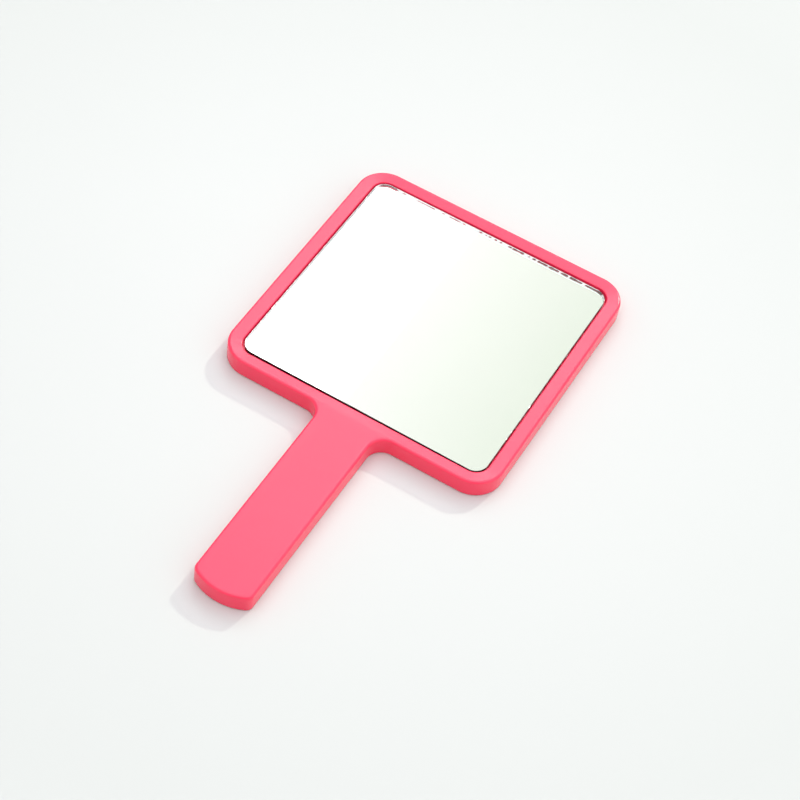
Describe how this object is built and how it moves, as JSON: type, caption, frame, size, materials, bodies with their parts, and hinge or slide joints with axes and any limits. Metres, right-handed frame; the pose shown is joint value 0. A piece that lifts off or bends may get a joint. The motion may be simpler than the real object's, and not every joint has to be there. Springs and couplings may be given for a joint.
{
  "type": "hand mirror",
  "caption": "Paddle hand mirror for a salon: a square glass pane bonded into the head of a moulded plastic shell, with a flat handle and a flush back cover.",
  "frame": {"origin": "on the back face, under the middle of the whole mirror's length and width", "axes": "+Z out of the mirror's face, +Y from the handle towards the head, +X across the head"},
  "size_m": [0.13, 0.2284, 0.009],
  "materials": {
    "frame_plastic": "satin coral-pink moulded plastic",
    "cover_plastic": "fine matt texture, coral-pink moulded plastic",
    "pane_glass": "clear float glass with ground edges",
    "silvering": "silvered",
    "backing_paint": "matt protective paint",
    "foam_tape": "white closed-cell foam with adhesive faces"
  },
  "bodies": {
    "root": {"front_frame": "frame_plastic", "back_cover": "cover_plastic", "mirror_glass": "pane_glass", "silver_layer": "silvering", "backing_paint": "backing_paint", "adhesive_tape": "foam_tape"}
  },
  "joints": []
}
